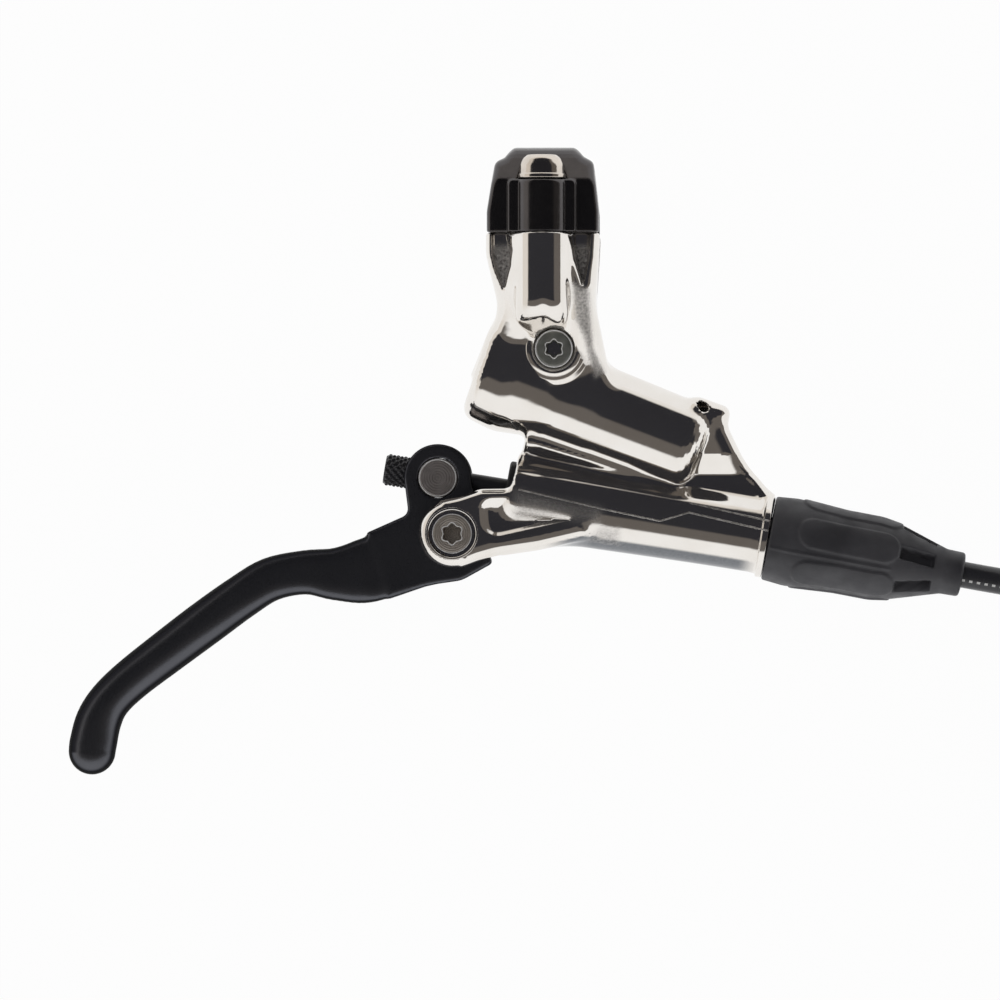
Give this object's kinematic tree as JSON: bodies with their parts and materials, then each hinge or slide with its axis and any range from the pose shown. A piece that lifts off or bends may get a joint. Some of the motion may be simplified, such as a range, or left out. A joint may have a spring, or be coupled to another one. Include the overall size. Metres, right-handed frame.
{
  "type": "hydraulic disc brake lever",
  "caption": "Bicycle hydraulic brake lever with its master cylinder, reservoir, split handlebar clamp, reach knob, rubber boot and coiled hose.",
  "frame": {"origin": "centre of the handlebar bore in the clamp", "axes": "+X along the handlebar towards the hose end, +Y from the lever to the handlebar, +Z along the lever pivot"},
  "size_m": [0.2633, 0.1616, 0.042],
  "materials": {
    "polished_alloy": "mirror polished",
    "black_gloss_anodised": "gloss black anodised",
    "black_satin_anodised": "satin black anodised",
    "nickel_steel": "bright nickel plated",
    "bronzed_steel": "dark bronzed, turned",
    "black_steel": "black oxide",
    "black_rubber": "moulded matte",
    "hose_jacket": "extruded nylon",
    "brass": "machined",
    "bronze_bush": "sintered",
    "spring_steel": "drawn wire",
    "grey_anodised": "hard anodised"
  },
  "bodies": {
    "root": {"master_cylinder_body": "polished_alloy", "reservoir_plug": "polished_alloy", "reservoir_bladder": "black_rubber", "bleed_screw": "black_steel", "bleed_seal": "black_rubber", "clamp_cap": "black_gloss_anodised", "clamp_bolts": "nickel_steel", "pivot_bolt": "bronzed_steel", "pivot_nut": "bronzed_steel", "circlip": "spring_steel", "dust_wiper": "black_rubber", "hose_nut": "black_steel", "hose_olive": "brass", "hose_barb": "brass", "hose_boot": "black_rubber", "hose": "hose_jacket", "hose_coil": "hose_jacket", "hose_tail": "hose_jacket", "hose_ties": "black_rubber", "hose_end_fitting": "nickel_steel", "return_spring": "spring_steel"},
    "lever": {"lever_blade": "black_satin_anodised", "pivot_bush": "bronze_bush"},
    "trunnion": {"cross_pin": "bronzed_steel"},
    "rod": {"push_rod": "black_steel", "reach_knob": "black_steel"},
    "piston": {"piston": "grey_anodised", "primary_seal": "black_rubber", "secondary_seal": "black_rubber"}
  },
  "joints": [
    {"name": "lever_pivot", "type": "hinge", "parent": "root", "child": "lever", "pos_m": [-0.0171, -0.0567, 0], "axis": [0, 0, 1], "range_deg": [-24, 0], "stiffness_Nm_per_rad": 0.2, "springref_deg": 5.73},
    {"name": "cross_pin_turn", "type": "hinge", "parent": "lever", "child": "trunnion", "pos_m": [-0.01989, -0.04615, 0], "axis": [0, 0, 1], "range_deg": [0, 22]},
    {"name": "reach_turn", "type": "hinge", "parent": "trunnion", "child": "rod", "pos_m": [-0.01989, -0.04615, 0], "axis": [0.9869, -0.1616, 0], "range_deg": [-720, 720]},
    {"name": "piston_slide", "type": "slide", "parent": "root", "child": "piston", "axis": [0.9869, -0.1616, 0], "range_m": [0, 0.0045], "deforming": ["return_spring"]}
  ],
  "couplings": [
    {"joint": "cross_pin_turn", "follows": "lever_pivot", "ratio": -0.884},
    {"joint": "piston_slide", "follows": "lever_pivot", "m_per_rad": -0.010535}
  ]
}
